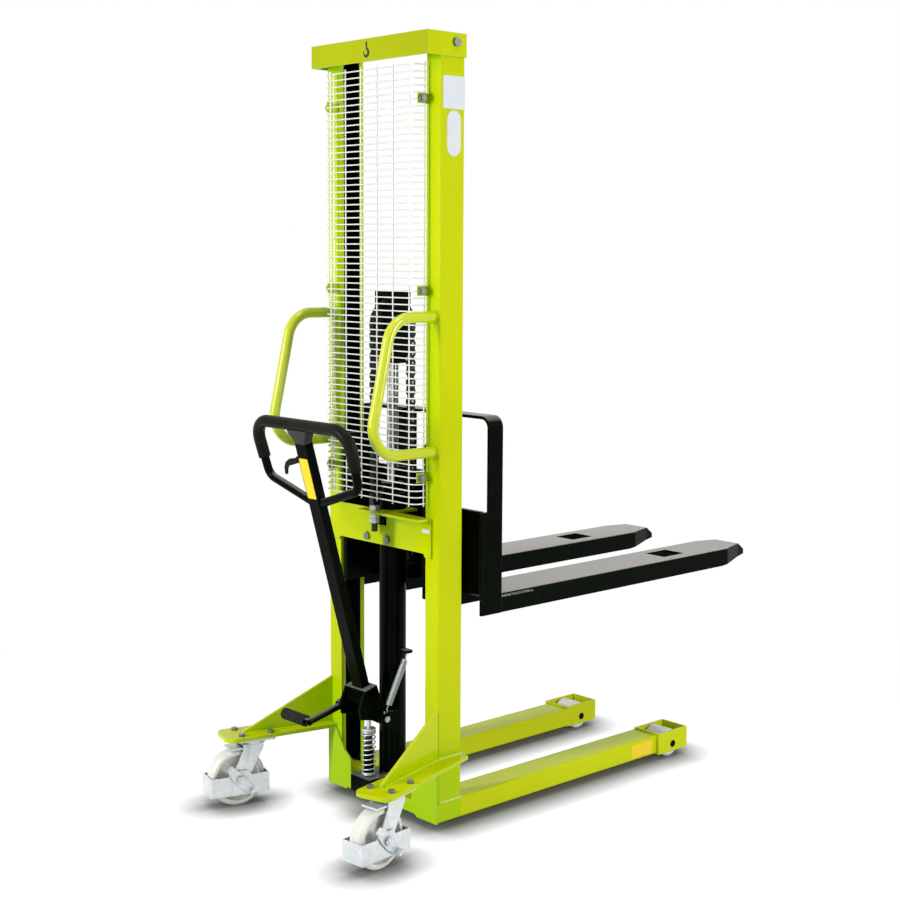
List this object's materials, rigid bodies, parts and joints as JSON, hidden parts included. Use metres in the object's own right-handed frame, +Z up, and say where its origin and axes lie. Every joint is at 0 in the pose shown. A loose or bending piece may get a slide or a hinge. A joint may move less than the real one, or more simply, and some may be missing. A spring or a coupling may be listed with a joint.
{
  "type": "hand pallet stacker",
  "caption": "Hand pallet stacker: channel mast with hydraulic ram, chain-lifted fork carriage, pump tiller with foot pedal, wire guard, straddle legs on rollers and swivel casters.",
  "frame": {"origin": "floor level, at the middle of the overall length and width", "axes": "+X forward along the forks, +Y to the operator's left, +Z up"},
  "size_m": [1.5844, 0.7048, 1.98],
  "materials": {
    "lime_paint": "semi-gloss",
    "black_paint": "semi-gloss",
    "zinc_steel": "zinc plated",
    "chain_steel": "oiled",
    "nylon": "satin",
    "black_plastic": "fine grain",
    "black_rubber": "matte",
    "white_wire": "satin",
    "rod_chrome": "polished"
  },
  "bodies": {
    "frame": {"base_plate": "lime_paint", "caster_bracket_left": "lime_paint", "caster_bracket_right": "lime_paint", "caster_plate_left": "zinc_steel", "caster_plate_right": "zinc_steel", "chain_anchor": "zinc_steel", "chain_run_fixed": "chain_steel", "crossbeam": "lime_paint", "frame_bolts": "zinc_steel", "grab_handle_left": "lime_paint", "grab_handle_right": "lime_paint", "guard_clips": "lime_paint", "leg_left": "lime_paint", "leg_right": "lime_paint", "lift_cylinder": "black_paint", "load_axles": "black_paint", "mast_post_left": "lime_paint", "mast_post_right": "lime_paint", "mast_top_cap": "lime_paint", "plunger_spring": "zinc_steel", "pump_body": "black_paint", "return_spring": "zinc_steel", "roller_shoe_left": "lime_paint", "roller_shoe_right": "lime_paint", "tiller_pin": "zinc_steel", "wire_guard": "white_wire"},
    "rod": {"lift_rod": "rod_chrome", "chain_yoke": "black_paint", "chain_wrap": "chain_steel"},
    "pulley": {"chain_pulley": "chain_steel"},
    "carriage": {"carriage_frame": "black_paint", "chain_clevis": "black_paint", "fork_left": "black_paint", "fork_right": "black_paint", "backrest": "black_paint", "chain_run_carriage": "chain_steel"},
    "tiller": {"tiller_tube": "black_paint", "tiller_loop": "black_paint", "tiller_grip": "black_plastic", "tiller_rocker": "black_paint", "foot_pedal": "black_paint", "pedal_grip": "black_rubber"},
    "trigger": {"release_trigger": "black_plastic"},
    "plunger": {"pump_plunger": "zinc_steel"},
    "guide_low_left": {"guide_roller_low_left": "zinc_steel"},
    "guide_low_right": {"guide_roller_low_right": "zinc_steel"},
    "guide_high_left": {"guide_roller_high_left": "zinc_steel"},
    "guide_high_right": {"guide_roller_high_right": "zinc_steel"},
    "caster_left": {"caster_fork_left": "zinc_steel", "caster_guard_left": "zinc_steel"},
    "wheel_left": {"caster_wheel_left": "nylon"},
    "brake_left": {"caster_brake_left": "zinc_steel"},
    "load_roller_left": {"load_roller_left": "nylon"},
    "caster_right": {"caster_fork_right": "zinc_steel", "caster_guard_right": "zinc_steel"},
    "wheel_right": {"caster_wheel_right": "nylon"},
    "brake_right": {"caster_brake_right": "zinc_steel"},
    "load_roller_right": {"load_roller_right": "nylon"}
  },
  "joints": [
    {"name": "rod_slide", "type": "slide", "parent": "frame", "child": "rod", "axis": [0, 0, 1], "range_m": [-0.252, 0.48], "deforming": ["chain_run_fixed"]},
    {"name": "carriage_slide", "type": "slide", "parent": "rod", "child": "carriage", "axis": [0, 0, 1], "range_m": [-0.252, 0.48], "deforming": ["chain_run_carriage"]},
    {"name": "pulley_spin", "type": "hinge", "parent": "rod", "child": "pulley", "pos_m": [-0.406, 0, 1.275], "axis": [0, -1, 0], "range_deg": [-240, 455]},
    {"name": "guide_low_left_spin", "type": "hinge", "parent": "carriage", "child": "guide_low_left", "pos_m": [-0.4025, 0.192, 0.628], "axis": [0, 1, 0], "range_deg": [-2230, 1175]},
    {"name": "guide_low_right_spin", "type": "hinge", "parent": "carriage", "child": "guide_low_right", "pos_m": [-0.4025, -0.192, 0.628], "axis": [0, 1, 0], "range_deg": [-2230, 1175]},
    {"name": "guide_high_left_spin", "type": "hinge", "parent": "carriage", "child": "guide_high_left", "pos_m": [-0.4025, 0.192, 0.94], "axis": [0, 1, 0], "range_deg": [-1175, 2230]},
    {"name": "guide_high_right_spin", "type": "hinge", "parent": "carriage", "child": "guide_high_right", "pos_m": [-0.4025, -0.192, 0.94], "axis": [0, 1, 0], "range_deg": [-1175, 2230]},
    {"name": "tiller_swing", "type": "hinge", "parent": "frame", "child": "tiller", "pos_m": [-0.461, 0, 0.259], "axis": [0, -1, 0], "range_deg": [0, 60], "stiffness_Nm_per_rad": 14, "springref_deg": -57.3, "deforming": ["return_spring"]},
    {"name": "plunger_slide", "type": "slide", "parent": "frame", "child": "plunger", "axis": [0, 0, -1], "range_m": [0, 0.031], "deforming": ["plunger_spring"]},
    {"name": "trigger_pull", "type": "hinge", "parent": "tiller", "child": "trigger", "pos_m": [-0.67948, 0.029, 0.94967], "axis": [0.9636, 0, 0.2672], "range_deg": [0, 18], "stiffness_Nm_per_rad": 0.8, "springref_deg": -11.46},
    {"name": "caster_swivel_left", "type": "hinge", "parent": "frame", "child": "caster_left", "pos_m": [-0.654, 0.285, 0.16], "axis": [0, 0, 1], "continuous": true},
    {"name": "wheel_roll_left", "type": "hinge", "parent": "caster_left", "child": "wheel_left", "pos_m": [-0.70036, 0.29742, 0.075], "axis": [0.2588, 0.9659, 0], "continuous": true},
    {"name": "brake_press_left", "type": "hinge", "parent": "caster_left", "child": "brake_left", "pos_m": [-0.70036, 0.29742, 0.075], "axis": [0.2588, 0.9659, 0], "range_deg": [0, 20]},
    {"name": "load_roll_left", "type": "hinge", "parent": "frame", "child": "load_roller_left", "pos_m": [0.4715, 0.1815, 0.04], "axis": [0, 1, 0], "continuous": true},
    {"name": "caster_swivel_right", "type": "hinge", "parent": "frame", "child": "caster_right", "pos_m": [-0.654, -0.285, 0.16], "axis": [0, 0, 1], "continuous": true},
    {"name": "wheel_roll_right", "type": "hinge", "parent": "caster_right", "child": "wheel_right", "pos_m": [-0.70174, -0.29002, 0.075], "axis": [-0.1045, 0.9945, 0], "continuous": true},
    {"name": "brake_press_right", "type": "hinge", "parent": "caster_right", "child": "brake_right", "pos_m": [-0.70174, -0.29002, 0.075], "axis": [-0.1045, 0.9945, 0], "range_deg": [0, 20]},
    {"name": "load_roll_right", "type": "hinge", "parent": "frame", "child": "load_roller_right", "pos_m": [0.4715, -0.1815, 0.04], "axis": [0, 1, 0], "continuous": true}
  ],
  "couplings": [
    {"joint": "carriage_slide", "follows": "rod_slide", "ratio": 1},
    {"joint": "pulley_spin", "follows": "rod_slide", "rad_per_m": 16.393},
    {"joint": "plunger_slide", "follows": "tiller_swing", "m_per_rad": 0.0288},
    {"joint": "guide_low_left_spin", "follows": "rod_slide", "rad_per_m": -80.645},
    {"joint": "guide_low_right_spin", "follows": "rod_slide", "rad_per_m": -80.645},
    {"joint": "guide_high_left_spin", "follows": "rod_slide", "rad_per_m": 80.645},
    {"joint": "guide_high_right_spin", "follows": "rod_slide", "rad_per_m": 80.645}
  ]
}
